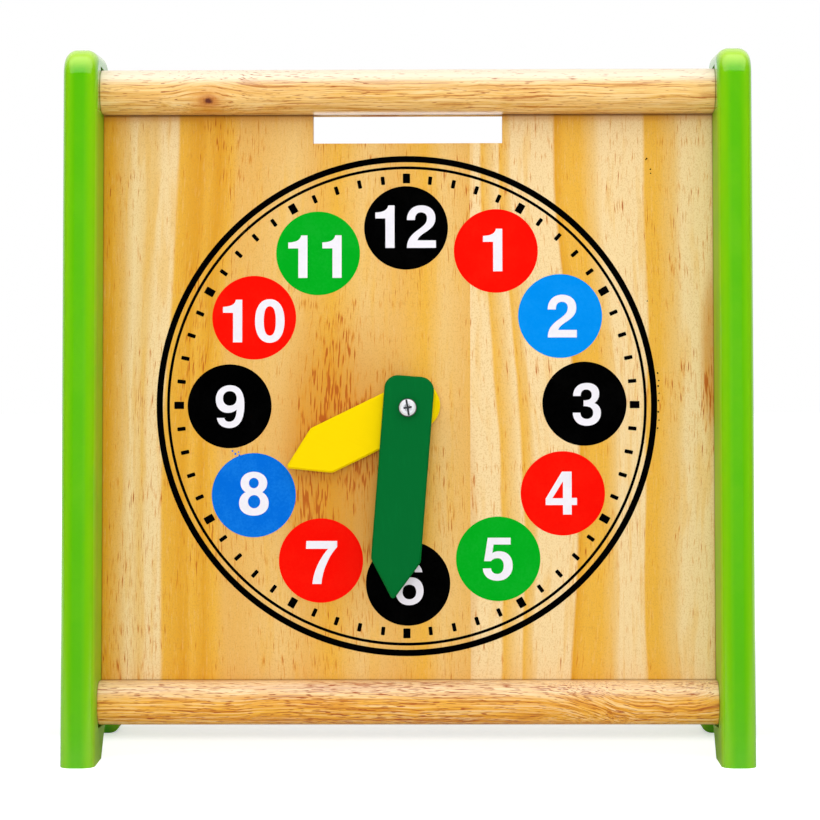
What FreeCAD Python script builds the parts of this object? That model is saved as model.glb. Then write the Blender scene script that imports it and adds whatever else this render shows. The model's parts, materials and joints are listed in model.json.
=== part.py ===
import FreeCAD, Part
import math
import os

from FreeCAD import Matrix, Vector

# A wooden teaching clock that stands on two painted side boards. Two rails and a dial
# panel are housed between the boards, and a 12 to 1 gear train behind the panel ties
# the hour hand to the minute hand. Lengths are in millimetres, angles in degrees.
# Rails, panel, hands and gears are drawn upright in the frame of the dial: X to the
# right, Y into the clock from the boards' front edge, Z up the panel. leaned() tips them
# back to where they stand. The boards are drawn standing, with Y from their front edge.

# Side boards
overall_width = 300.0
overall_height = 311.0
base_depth = 120.0
lean_angle = 4.7
rear_lean_angle = 9.5
board_thickness = 15.0
board_edge_radius = 5.5
board_top_radius = 12.0
heel_radius = 12.0
front_foot_length = 26.0
rear_foot_length = 24.0
arch_rise = 15.0
arch_side_angle = 45.0
arch_corner_radius = 15.0

# Rails and how they are housed
rail_height = 19.0
rail_depth = 28.0
rail_corner_radius = 8.0
rail_setback = 10.5
bottom_rail_level = 17.5
top_rail_drop = 6.8
tenon_inset = 4.0
housing_depth = 5.0
housing_overrun = 1.2
joint_clearance = 0.1

# Dial panel of two boards glued edge to edge
panel_thickness = 8.0
panel_setback = 25.0
groove_depth = 6.0
groove_end_gap = 0.3
glue_joint_offset = 27.5
slot_width = 84.0
slot_height = 12.7

# Dial centre, above the bottom rail
dial_above_rail = 119.2

# Hands
hand_width = 21.8
hand_thickness = 4.0
hand_edge_chamfer = 0.7
hand_shoulder_radius = 4.0
hand_tip_radius = 1.2
hand_taper_length = 17.5
minute_hand_reach = 84.5
minute_hand_tail = 14.0
minute_hand_tail_radius = 6.0
minute_hand_angle = 184.5
hour_hand_reach = 59.8
hour_hand_tail = 14.4
hour_hand_tail_radius = 10.4
hour_hand_angle = 244.0
hand_gap = 0.4

# Screw that holds the minute hand
hand_screw_diameter = 4.0
hand_screw_length = 12.0
hand_screw_head_diameter = 8.0
hand_screw_head_height = 2.6
hand_screw_head_rim = 1.5
hand_screw_crown_diameter = 5.6
screw_slot_length = 7.0
screw_cross_length = 3.6
screw_slot_width = 0.85
screw_slot_depth = 1.2
screw_slot_angle = -9.0

# Bush pressed into the panel at the dial centre
bush_diameter = 15.0
bush_front_length = 1.2
bush_back_length = 4.8

# Arbor and pipe
arbor_diameter = 8.0
arbor_front_diameter = 6.0
arbor_flat_width = 5.0
arbor_pivot_diameter = 5.0
pipe_diameter = 11.0
running_clearance = 0.08
press_clearance = 0.02

# Gear train
gear_module = 1.5
pressure_angle = 25.0
cannon_teeth = 15
minute_wheel_teeth = 45
minute_pinion_teeth = 12
hour_wheel_teeth = 48
addendum_share = 1.0
dedendum_share = 1.25
tooth_play = 0.12
gear_width = 6.0
gear_layer_gap = 2.0
wheel_rim_width = 4.0
wheel_hub_diameter = 20.0
spoke_width = 6.0
spoke_count = 5
pinion_hub_diameter = 11.0
pinion_flat_width = 9.0
cannon_hub_diameter = 12.0
arbor_seat_flat_width = 6.6
end_float = 0.4

# Idler axle, behind the panel and below the dial centre
axle_diameter = 6.0
axle_in_panel = 5.0
axle_collar_diameter = 11.0

# Clear back plate on four posts
plate_width = 112.0
plate_height = 154.0
plate_thickness = 4.0
plate_corner_radius = 12.0
plate_gap = 2.4
post_across_flats = 9.0
post_inset = 11.0
plate_screw_diameter = 3.0
plate_screw_in_panel = 5.5
plate_screw_across_flats = 5.5
plate_screw_head_height = 2.0
screw_clearance = 0.15

# A length that carries a cutting tool clear of what it cuts, and the largest share of a
# piece's thickness that one eased edge may take
overrun = 5.0
eased_edge_share = 0.4

# Levels and places worked out from the sizes above
lean = math.radians(lean_angle)
inner_half_width = overall_width / 2 - board_thickness
bottom_rail_top = bottom_rail_level + rail_height
top_rail_level = overall_height / math.cos(lean) - top_rail_drop - rail_height
dial_level = bottom_rail_top + dial_above_rail
panel_back = panel_setback + panel_thickness
panel_reach = inner_half_width + housing_depth - groove_end_gap

bush_front = panel_setback - bush_front_length
hour_hand_back = bush_front - hand_gap
hour_hand_front = hour_hand_back - hand_thickness
minute_hand_back = hour_hand_front - hand_gap
minute_hand_front = minute_hand_back - hand_thickness

bush_back = panel_back + bush_back_length
hour_wheel_front = bush_back + end_float
hour_wheel_back = hour_wheel_front + gear_width
minute_wheel_front = hour_wheel_back + gear_layer_gap
minute_wheel_back = minute_wheel_front + gear_width
plate_front = minute_wheel_back + plate_gap
plate_back = plate_front + plate_thickness
cannon_back = plate_front - end_float

gear_centres = gear_module * (cannon_teeth + minute_wheel_teeth) / 2
idler_level = dial_level - gear_centres
plate_level = (dial_level + idler_level) / 2
dial_centre = (0.0, dial_level)
idler_centre = (0.0, idler_level)


# Shapes that many pieces share

def standing(shape):
    """Bring a piece drawn from the boards' front edge to the middle of the base."""
    moved = shape.copy()
    moved.translate(Vector(0.0, -base_depth / 2, 0.0))
    return moved


def leaned(shape):
    """Tip a piece drawn in the dial's frame back to where the boards hold it."""
    tip = Matrix()
    tip.rotateX(-lean)
    return standing(shape.transformed(tip))


def save(node, solids):
    """Write one node, from one solid or a group of identical ones."""
    shape = solids[0] if len(solids) == 1 else Part.makeCompound(solids)
    shape.exportStep("parts/" + node + ".step")


def rounded_wire(corners, place):
    """Closed wire through (u, v, radius) corners, which place() turns into points."""
    starts = []
    ends = []
    middles = []
    count = len(corners)
    for index in range(count):
        u, v, radius = corners[index]
        here = Vector(u, v, 0.0)
        before = Vector(*corners[index - 1][:2], 0.0)
        after = Vector(*corners[(index + 1) % count][:2], 0.0)
        towards_before = (before - here).normalize()
        towards_after = (after - here).normalize()
        half_angle = towards_before.getAngle(towards_after) / 2
        cut = radius / math.tan(half_angle)
        bisector = (towards_before + towards_after).normalize()
        starts.append(here + towards_before * cut)
        ends.append(here + towards_after * cut)
        middles.append(here + bisector * (radius / math.sin(half_angle) - radius))
    edges = []
    for index in range(count):
        start, middle, end = starts[index], middles[index], ends[index]
        if corners[index][2] > 0.0:
            edges.append(Part.Arc(place(start), place(middle), place(end)).toShape())
        following = starts[(index + 1) % count]
        if not following.isEqual(end, Part.Precision.confusion()):
            edges.append(Part.LineSegment(place(end), place(following)).toShape())
    return Part.Wire(edges)


def bar(corners, left, right):
    """Prism along X whose section is drawn in depth and height."""
    wire = rounded_wire(corners, lambda p: Vector(left, p.x, p.y))
    return Part.Face(wire).extrude(Vector(right - left, 0.0, 0.0))


def slab(corners, front, back):
    """Prism along Y whose outline is drawn in X and height."""
    wire = rounded_wire(corners, lambda p: Vector(p.x, front, p.y))
    return Part.Face(wire).extrude(Vector(0.0, back - front, 0.0))


def rectangle(low_u, low_v, high_u, high_v, radius=0.0):
    return [(low_u, low_v, radius), (high_u, low_v, radius),
            (high_u, high_v, radius), (low_u, high_v, radius)]


def disc(diameter, front, back, centre=dial_centre):
    start = Vector(centre[0], front, centre[1])
    return Part.makeCylinder(diameter / 2, back - front, start, Vector(0, 1, 0))


def ring(diameter, bore, front, back, centre=dial_centre):
    return disc(diameter, front, back, centre).cut(
        disc(bore, front - overrun, back + overrun, centre))


def flatted_disc(diameter, flat_width, front, back, centre=dial_centre):
    """Round bar with two flats, one each side of the centre."""
    x, level = centre
    between = slab(rectangle(x - diameter, level - flat_width / 2,
                             x + diameter, level + flat_width / 2), front, back)
    return disc(diameter, front, back, centre).common(between)


def hexagon(across_flats, centre):
    """Corners of a hexagon, as an outline in X and height."""
    corner = across_flats / 2 / math.cos(math.radians(30.0))
    turns = [math.radians(60.0 * index) for index in range(6)]
    return [(centre[0] + corner * math.sin(turn), centre[1] + corner * math.cos(turn), 0.0)
            for turn in turns]


def edges_where(shape, test):
    return [edge for edge in shape.Edges if all(test(v.Point) for v in edge.Vertexes)]


# Side boards

def board_profile():
    """Outline of a side board in depth and height: a leaning plank on two feet."""
    run = overall_height * math.tan(lean)
    rear_lean = math.radians(rear_lean_angle)
    rear_run = overall_height * math.tan(rear_lean)
    heel_angle = math.radians(90.0) - rear_lean
    heel = base_depth + heel_radius * (1.0 / math.tan(heel_angle / 2) - 1.0)
    arch_run = arch_rise / math.tan(math.radians(arch_side_angle))
    arch_back = base_depth - rear_foot_length
    return [
        (0.0, 0.0, 0.0),
        (run, overall_height, board_top_radius),
        (heel - rear_run, overall_height, board_top_radius),
        (heel, 0.0, heel_radius),
        (arch_back, 0.0, 0.0),
        (arch_back - arch_run, arch_rise, arch_corner_radius),
        (front_foot_length + arch_run, arch_rise, arch_corner_radius),
        (front_foot_length, 0.0, 0.0),
    ]


def tenon_section(level, gap=0.0, below=0.0, above=0.0):
    """Outline in depth and height of a rail's tenon, or of its mortise with gaps."""
    return rectangle(rail_setback + tenon_inset - gap, level + tenon_inset - gap - below,
                     rail_setback + rail_depth - tenon_inset + gap,
                     level + rail_height - tenon_inset + gap + above)


def housing_tools(side):
    """What is cut out of a board: a mortise for each rail and a groove for the panel.

    Each mortise was cut a little past the outer face of its rail.
    """
    floor = side * (inner_half_width + housing_depth)
    mouth = side * (inner_half_width - overrun)
    left, right = min(floor, mouth), max(floor, mouth)
    past_rail = tenon_inset + housing_overrun
    tools = [
        bar(tenon_section(bottom_rail_level, joint_clearance, past_rail, 0.0), left, right),
        bar(tenon_section(top_rail_level, joint_clearance, 0.0, past_rail), left, right),
        bar(rectangle(panel_setback - joint_clearance, bottom_rail_top - groove_depth,
                      panel_back + joint_clearance, top_rail_level + groove_depth), left, right),
    ]
    return [leaned(tool) for tool in tools]


def side_board(side):
    inner = side * inner_half_width
    outer = side * overall_width / 2
    plank = bar(board_profile(), min(inner, outer), max(inner, outer))
    rims = []
    for face_x in (inner, outer):
        rims += edges_where(plank, lambda p: math.isclose(p.x, face_x) and p.z > overall_height / 2)
    plank = plank.makeFillet(min(board_edge_radius, board_thickness * eased_edge_share), rims)
    plank = standing(plank)
    for tool in housing_tools(side):
        plank = plank.cut(tool)
    return plank


# Rails

def rail(level, groove_low, groove_high):
    outline = rectangle(rail_setback, level, rail_setback + rail_depth, level + rail_height,
                        rail_corner_radius)
    tenon_end = inner_half_width + housing_depth - groove_end_gap
    body = bar(outline, -inner_half_width, inner_half_width)
    body = body.fuse(bar(tenon_section(level), -tenon_end, tenon_end)).removeSplitter()
    groove = rectangle(panel_setback - joint_clearance, groove_low,
                       panel_back + joint_clearance, groove_high)
    return leaned(body.cut(bar(groove, -tenon_end - overrun, tenon_end + overrun)))


# Dial panel

def post_centres():
    half_across = plate_width / 2 - post_inset
    half_up = plate_height / 2 - post_inset
    return [(across * half_across, plate_level + up * half_up)
            for up in (-1, 1) for across in (-1, 1)]


def panel_board(left, right):
    """One board of the dial panel, with its share of the hand slot and of the holes."""
    low = bottom_rail_top - groove_depth + groove_end_gap
    high = top_rail_level + groove_depth - groove_end_gap
    sill = top_rail_level - slot_height
    board = slab(rectangle(left, low, right, high), panel_setback, panel_back)
    tools = [
        slab(rectangle(-slot_width / 2, sill, slot_width / 2, high + overrun),
             panel_setback - overrun, panel_back + overrun),
        disc(bush_diameter + 2 * press_clearance, panel_setback - overrun, panel_back + overrun),
        disc(axle_diameter + 2 * press_clearance, panel_back - axle_in_panel,
             panel_back + overrun, idler_centre),
    ]
    for centre in post_centres():
        tools.append(disc(plate_screw_diameter + 2 * press_clearance,
                          panel_back - plate_screw_in_panel, panel_back + overrun, centre))
    for tool in tools:
        if board.common(tool).Volume > 0.0:
            board = board.cut(tool)
    return leaned(board)


# Hands

def hand_outline(reach, tail, tail_radius, angle):
    """Pointed bar from a rounded tail to its tip, turned clockwise from twelve."""
    half = hand_width / 2
    shoulder = reach - hand_taper_length
    local = [
        (-half, -tail, tail_radius), (half, -tail, tail_radius),
        (half, shoulder, hand_shoulder_radius), (0.0, reach, hand_tip_radius),
        (-half, shoulder, hand_shoulder_radius),
    ]
    turn = math.radians(angle)
    return [(across * math.cos(turn) + along * math.sin(turn),
             dial_level - across * math.sin(turn) + along * math.cos(turn), radius)
            for across, along, radius in local]


def hand(reach, tail, tail_radius, angle, front):
    """Hand with its front edges eased, before its centre hole."""
    blade = slab(hand_outline(reach, tail, tail_radius, angle), front, front + hand_thickness)
    rims = edges_where(blade, lambda p: math.isclose(p.y, front))
    return blade.makeChamfer(min(hand_edge_chamfer, hand_thickness * eased_edge_share), rims)


def minute_hand():
    blade = hand(minute_hand_reach, minute_hand_tail, minute_hand_tail_radius,
                 minute_hand_angle, minute_hand_front)
    seat = flatted_disc(arbor_front_diameter + 2 * press_clearance,
                        arbor_flat_width + 2 * press_clearance,
                        minute_hand_front - overrun, minute_hand_back + overrun)
    return blade.cut(seat)


def hour_hand():
    blade = hand(hour_hand_reach, hour_hand_tail, hour_hand_tail_radius,
                 hour_hand_angle, hour_hand_front)
    return blade.cut(disc(pipe_diameter + 2 * press_clearance,
                          hour_hand_front - overrun, hour_hand_back + overrun))


def hand_screw():
    """Screw with a coned head, drawn as half a section and turned, then slotted."""
    radius = hand_screw_diameter / 2
    head_radius = hand_screw_head_diameter / 2

    def at(out, forward):
        return Vector(out, minute_hand_front - forward, dial_level)

    section = [at(0.0, hand_screw_head_height), at(0.0, -hand_screw_length),
               at(radius, -hand_screw_length), at(radius, 0.0), at(head_radius, 0.0),
               at(head_radius, hand_screw_head_rim),
               at(hand_screw_crown_diameter / 2, hand_screw_head_height)]
    outline = Part.makePolygon(section + section[:1])
    screw = Part.Face(outline).revolve(section[0], Vector(0, 1, 0), 360.0)

    for length, angle in ((screw_slot_length, screw_slot_angle),
                          (screw_cross_length, screw_slot_angle + 90.0)):
        slot = slab(rectangle(-screw_slot_width / 2, dial_level - length / 2,
                              screw_slot_width / 2, dial_level + length / 2),
                    minute_hand_front - hand_screw_head_height - overrun,
                    minute_hand_front - hand_screw_head_height + screw_slot_depth)
        slot.rotate(at(0.0, 0.0), Vector(0, 1, 0), angle)
        screw = screw.cut(slot)
    return screw


# Bush, pipe and arbor

def dial_bush():
    return ring(bush_diameter, pipe_diameter + 2 * running_clearance, bush_front, bush_back)


def hour_pipe():
    return ring(pipe_diameter, arbor_diameter + 2 * running_clearance,
                hour_hand_front, hour_wheel_back)


def minute_arbor():
    seat_front = minute_hand_front + joint_clearance
    rod = flatted_disc(arbor_front_diameter, arbor_flat_width, seat_front, minute_hand_back)
    rod = rod.fuse(disc(arbor_diameter, minute_hand_back, hour_wheel_back + end_float))
    rod = rod.fuse(flatted_disc(arbor_diameter, arbor_seat_flat_width,
                                hour_wheel_back + end_float, cannon_back))
    rod = rod.fuse(disc(arbor_pivot_diameter, cannon_back, plate_back))
    return rod.removeSplitter().cut(disc(hand_screw_diameter + 2 * press_clearance,
                                         minute_hand_front - overrun,
                                         minute_hand_front + hand_screw_length + hand_screw_head_rim))


# Gears

def involute(angle):
    return math.tan(angle) - angle


def gear_blank(teeth, front, back, centre, first_tooth):
    """Spur gear with involute teeth, one of them centred on first_tooth degrees."""
    pitch = gear_module * teeth / 2
    tip = pitch + addendum_share * gear_module
    root = pitch - dedendum_share * gear_module
    pressure = math.radians(pressure_angle)
    base = pitch * math.cos(pressure)
    start = max(base, root)
    half_at_pitch = math.pi / (2 * teeth) - tooth_play / (2 * pitch)

    def half_tooth(radius):
        local_pressure = math.acos(min(1.0, base / radius))
        return half_at_pitch + involute(pressure) - involute(local_pressure)

    def at(radius, angle):
        return Vector(centre[0] + radius * math.sin(angle), front,
                      centre[1] + radius * math.cos(angle))

    flank = [(radius, half_tooth(radius)) for radius in (start, (start + tip) / 2, tip)]
    if base > root:
        flank.insert(0, (root, half_tooth(start)))
    step = 2 * math.pi / teeth
    points = []
    for index in range(teeth):
        axis = math.radians(first_tooth) + index * step
        points += [at(radius, axis - half) for radius, half in flank]
        points += [at(radius, axis + half) for radius, half in reversed(flank)]
    outline = Part.makePolygon(points + points[:1])
    return Part.Face(outline).extrude(Vector(0.0, back - front, 0.0))


def spoked(wheel, teeth, front, back, centre):
    """Cut the windows between a wheel's rim, its hub and its spokes."""
    rim = gear_module * (teeth / 2 - dedendum_share) - wheel_rim_width
    hub = wheel_hub_diameter / 2
    half_spoke = spoke_width / 2

    def at(radius, angle):
        return Vector(centre[0] + radius * math.sin(angle), front - overrun,
                      centre[1] + radius * math.cos(angle))

    step = 2 * math.pi / spoke_count
    for index in range(spoke_count):
        spoke = index * step
        inner = math.asin(half_spoke / hub)
        outer = math.asin(half_spoke / rim)
        middle = spoke + step / 2
        edges = [
            Part.Arc(at(hub, spoke + inner), at(hub, middle), at(hub, spoke + step - inner)).toShape(),
            Part.LineSegment(at(hub, spoke + step - inner), at(rim, spoke + step - outer)).toShape(),
            Part.Arc(at(rim, spoke + step - outer), at(rim, middle), at(rim, spoke + outer)).toShape(),
            Part.LineSegment(at(rim, spoke + outer), at(hub, spoke + inner)).toShape(),
        ]
        window = Part.Face(Part.Wire(edges))
        wheel = wheel.cut(window.extrude(Vector(0.0, back - front + 2 * overrun, 0.0)))
    return wheel


def cannon_pinion():
    hub_front = hour_wheel_back + end_float
    pinion = gear_blank(cannon_teeth, minute_wheel_front, cannon_back, dial_centre, 180.0)
    pinion = pinion.fuse(disc(cannon_hub_diameter, hub_front, minute_wheel_front))
    return pinion.cut(flatted_disc(arbor_diameter + 2 * press_clearance,
                                   arbor_seat_flat_width + 2 * press_clearance,
                                   hub_front - overrun, cannon_back + overrun))


def minute_wheel():
    gap_up = 180.0 / minute_wheel_teeth
    wheel = gear_blank(minute_wheel_teeth, minute_wheel_front, minute_wheel_back,
                       idler_centre, gap_up)
    wheel = spoked(wheel, minute_wheel_teeth, minute_wheel_front, minute_wheel_back, idler_centre)
    return wheel.cut(flatted_disc(pinion_hub_diameter + 2 * press_clearance,
                                  pinion_flat_width + 2 * press_clearance,
                                  minute_wheel_front - overrun, minute_wheel_back + overrun,
                                  idler_centre))


def minute_pinion():
    step_end = hour_wheel_back + gear_layer_gap / 2
    pinion = gear_blank(minute_pinion_teeth, hour_wheel_front, step_end, idler_centre, 0.0)
    pinion = pinion.fuse(disc(pinion_hub_diameter, step_end, minute_wheel_front, idler_centre))
    pinion = pinion.fuse(flatted_disc(pinion_hub_diameter, pinion_flat_width,
                                      minute_wheel_front, plate_front - end_float, idler_centre))
    return pinion.cut(disc(axle_diameter + 2 * running_clearance, hour_wheel_front - overrun,
                           plate_front + overrun, idler_centre))


def hour_wheel():
    gap_down = 180.0 + 180.0 / hour_wheel_teeth
    wheel = gear_blank(hour_wheel_teeth, hour_wheel_front, hour_wheel_back, dial_centre, gap_down)
    wheel = spoked(wheel, hour_wheel_teeth, hour_wheel_front, hour_wheel_back, dial_centre)
    return wheel.cut(disc(pipe_diameter + 2 * press_clearance,
                          hour_wheel_front - overrun, hour_wheel_back + overrun))


# Idler axle

def idler_axle():
    """Axle with a turned collar that stands on the panel. The pinion turns on it."""
    rod = disc(axle_diameter, panel_back - axle_in_panel, plate_back, idler_centre)
    return rod.fuse(disc(axle_collar_diameter, panel_back, hour_wheel_front - end_float,
                         idler_centre))


# Back plate, posts and screws

def back_plate():
    outline = rectangle(-plate_width / 2, plate_level - plate_height / 2,
                        plate_width / 2, plate_level + plate_height / 2, plate_corner_radius)
    plate = slab(outline, plate_front, plate_back)
    holes = [(arbor_pivot_diameter + 2 * running_clearance, dial_centre),
             (axle_diameter + 2 * press_clearance, idler_centre)]
    holes += [(plate_screw_diameter + 2 * screw_clearance, centre) for centre in post_centres()]
    for diameter, centre in holes:
        plate = plate.cut(disc(diameter, plate_front - overrun, plate_back + overrun, centre))
    return plate


def plate_post(centre):
    post = slab(hexagon(post_across_flats, centre), panel_back, plate_front)
    return post.cut(disc(plate_screw_diameter + 2 * screw_clearance, panel_back - overrun,
                         plate_front + overrun, centre))


def plate_screw(centre):
    """Hexagon-headed screw through the plate and a post into the panel."""
    shank = disc(plate_screw_diameter, panel_back - plate_screw_in_panel, plate_back, centre)
    head = slab(hexagon(plate_screw_across_flats, centre), plate_back,
                plate_back + plate_screw_head_height)
    return shank.fuse(head)


os.makedirs("parts", exist_ok=True)

save("side_board_left", [side_board(-1)])
save("side_board_right", [side_board(1)])
save("bottom_rail", [rail(bottom_rail_level, bottom_rail_top - groove_depth,
                          bottom_rail_top + overrun)])
save("top_rail", [rail(top_rail_level, top_rail_level - overrun,
                       top_rail_level + groove_depth)])
save("panel_board_wide", [panel_board(-panel_reach, glue_joint_offset)])
save("panel_board_narrow", [panel_board(glue_joint_offset, panel_reach)])
save("dial_bush", [leaned(dial_bush())])
save("idler_axle", [leaned(idler_axle())])
save("back_plate", [leaned(back_plate())])
save("plate_posts", [leaned(plate_post(centre)) for centre in post_centres()])
save("plate_screws", [leaned(plate_screw(centre)) for centre in post_centres()])

save("minute_hand", [leaned(minute_hand())])
save("hand_screw", [leaned(hand_screw())])
save("minute_arbor", [leaned(minute_arbor())])
save("cannon_pinion", [leaned(cannon_pinion())])

save("hour_hand", [leaned(hour_hand())])
save("hour_pipe", [leaned(hour_pipe())])
save("hour_wheel", [leaned(hour_wheel())])

save("minute_wheel", [leaned(minute_wheel())])
save("minute_pinion", [leaned(minute_pinion())])
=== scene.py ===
import json
import math

import bpy
from mathutils import Matrix, Vector


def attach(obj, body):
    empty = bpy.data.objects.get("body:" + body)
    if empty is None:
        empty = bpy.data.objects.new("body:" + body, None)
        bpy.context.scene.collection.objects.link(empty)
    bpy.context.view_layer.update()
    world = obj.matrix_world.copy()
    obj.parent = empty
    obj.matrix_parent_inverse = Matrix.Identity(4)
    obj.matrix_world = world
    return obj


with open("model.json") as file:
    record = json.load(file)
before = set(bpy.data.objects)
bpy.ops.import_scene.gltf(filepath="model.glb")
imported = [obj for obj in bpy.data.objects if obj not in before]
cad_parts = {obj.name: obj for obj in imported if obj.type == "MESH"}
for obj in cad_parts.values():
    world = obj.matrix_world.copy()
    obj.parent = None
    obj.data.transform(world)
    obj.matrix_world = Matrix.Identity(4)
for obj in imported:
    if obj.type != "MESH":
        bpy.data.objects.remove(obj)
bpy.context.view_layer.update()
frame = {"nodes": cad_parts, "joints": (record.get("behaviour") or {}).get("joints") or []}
nodes = frame["nodes"]

# Places on the clock, in metres: x to the right, y to the back, z up
inner_face = 0.135
board_middle = 0.1425
panel_top = 0.2832
panel_foot = 0.0343
knot_place = (-0.0872, 0.2888)

# The hands' axis passes through the joint's point. Outward is the way the dial faces, and up_dial is up
# along the panel
joint_ahead_of_panel = 0.025
joint_ahead_of_screw_seat = 0.015
axis_of_hands = frame["joints"][0]
outward = -Vector(axis_of_hands["axis"])
up_dial = outward.cross(Vector((1, 0, 0)))
pivot = Vector(axis_of_hands["pos_m"]) - outward * joint_ahead_of_panel
screw_seat = Vector(axis_of_hands["pos_m"]) - outward * joint_ahead_of_screw_seat


def tint(code):
    """An sRGB colour code as linear colour."""
    parts = [int(code[i:i + 2], 16) / 255 for i in (0, 2, 4)]
    return tuple(p / 12.92 if p <= 0.04045 else ((p + 0.055) / 1.055) ** 2.4 for p in parts) + (1,)


# Shader helpers
def put(tree, kind, inputs=None, **settings):
    """Adds a node with its settings, and its inputs as values or links."""
    made = tree.nodes.new(kind)
    for name, value in settings.items():
        setattr(made, name, value)
    for name, value in (inputs or {}).items():
        if isinstance(value, bpy.types.NodeSocket):
            tree.links.new(value, made.inputs[name])
        else:
            made.inputs[name].default_value = value
    return made


def math_node(tree, operation, first, second=0.0, third=0.0, clamp=False):
    """The result of one sum on numbers or sockets."""
    node = put(tree, "ShaderNodeMath", {0: first, 1: second, 2: third},
               operation=operation, use_clamp=clamp)
    return node.outputs[0]


def times(tree, first, second):
    """One value multiplied by another."""
    return math_node(tree, "MULTIPLY", first, second)


def less(tree, first, second):
    """One value less another."""
    return math_node(tree, "SUBTRACT", first, second)


def plus(tree, first, second):
    """One value and another together."""
    return math_node(tree, "ADD", first, second)


def rest_of(tree, value):
    """What a value leaves of 1."""
    return less(tree, 1.0, value)


def most(tree, first, second):
    """The larger of two values."""
    return math_node(tree, "MAXIMUM", first, second)


def unsigned(tree, value):
    """A value without its sign."""
    return math_node(tree, "ABSOLUTE", value)


def vector_node(tree, operation, first, second=(0, 0, 0)):
    """The result of one sum on vectors, which is a number for a length or a dot product."""
    node = put(tree, "ShaderNodeVectorMath", {0: first, 1: second}, operation=operation)
    return node.outputs["Value" if operation in ("LENGTH", "DOT_PRODUCT") else "Vector"]


def split(tree, vector):
    """The three parts of a vector."""
    return put(tree, "ShaderNodeSeparateXYZ", {0: vector}).outputs


def joined(tree, x, y, z):
    """A vector made of three parts."""
    return put(tree, "ShaderNodeCombineXYZ", {0: x, 1: y, 2: z}).outputs[0]


def stretched(tree, vector, x, y, z):
    """A vector with each of its parts scaled."""
    return vector_node(tree, "MULTIPLY", vector, (x, y, z))


def fade(tree, value, low, high):
    """0 below low, 1 above high, and smooth between them."""
    node = put(tree, "ShaderNodeMapRange", {"Value": value, "From Min": low, "From Max": high},
               interpolation_type="SMOOTHSTEP")
    return node.outputs["Result"]


def blend(tree, factor, first, second, mode="MIX"):
    """Two colours mixed by a factor."""
    node = put(tree, "ShaderNodeMix", {0: factor, 6: first, 7: second}, data_type="RGBA", blend_type=mode)
    return node.outputs[2]


def lay(tree, colour, where, amount, code):
    """Lays a tone over a colour: where is its mask, and amount is how well it covers."""
    return blend(tree, times(tree, where, amount), colour, tint(code))


def noise(tree, vector, scale, detail=2.0, roughness=0.5, distortion=0.0):
    """The grey value of a noise."""
    node = put(tree, "ShaderNodeTexNoise", {"Vector": vector, "Scale": scale, "Detail": detail,
                                           "Roughness": roughness, "Distortion": distortion})
    return node.outputs[0]


def ramp(tree, value, stops):
    """A colour ramp over a value of 0 to 1, from (place, colour code) pairs."""
    node = put(tree, "ShaderNodeValToRGB", {0: value})
    elements = node.color_ramp.elements
    elements[0].position, elements[0].color = stops[0][0], tint(stops[0][1])
    elements[1].position, elements[1].color = stops[-1][0], tint(stops[-1][1])
    for place, code in stops[1:-1]:
        elements.new(place).color = tint(code)
    return node.outputs[0]


def facing_up(tree, low, high):
    """0 where a surface rises less than low, and 1 where it looks up more than high."""
    normal = put(tree, "ShaderNodeNewGeometry").outputs["Normal"]
    return fade(tree, split(tree, normal)[2], low, high)


def feed(tree, inputs, **sockets):
    """Links sockets to inputs, with an underscore for each space in their names."""
    for name, socket in sockets.items():
        tree.links.new(socket, inputs[name.replace("_", " ")])


def settle(shader, **values):
    """Sets constants on the shader's own inputs, with an underscore for each space in their names."""
    for name, value in values.items():
        shader.inputs[name.replace("_", " ")].default_value = value


def bump(tree, shader, height, depth):
    """Feeds a height into the shader's normal; depth is in metres."""
    node = put(tree, "ShaderNodeBump", {"Height": height, "Distance": depth, "Strength": 1.0})
    tree.links.new(node.outputs[0], shader.inputs["Normal"])


# Shared groups
socket_kinds = {"value": "NodeSocketFloat", "vector": "NodeSocketVector", "colour": "NodeSocketColor"}


def shared_group(name, takes, gives):
    """A node group with named inputs and outputs: the tree, its inputs and its outputs."""
    tree = bpy.data.node_groups.new(name, "ShaderNodeTree")
    for label, kind, default in takes:
        socket = tree.interface.new_socket(name=label, in_out="INPUT", socket_type=socket_kinds[kind])
        if default is not None:
            socket.default_value = default
    for label, kind in gives:
        tree.interface.new_socket(name=label, in_out="OUTPUT", socket_type=socket_kinds[kind])
    inlet = tree.nodes.new("NodeGroupInput")
    outlet = tree.nodes.new("NodeGroupOutput")
    return tree, inlet.outputs, outlet.inputs


def use(tree, group, inputs):
    """Places a shared group in a material and gives its outputs."""
    return put(tree, "ShaderNodeGroup", inputs, node_tree=group).outputs


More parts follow.
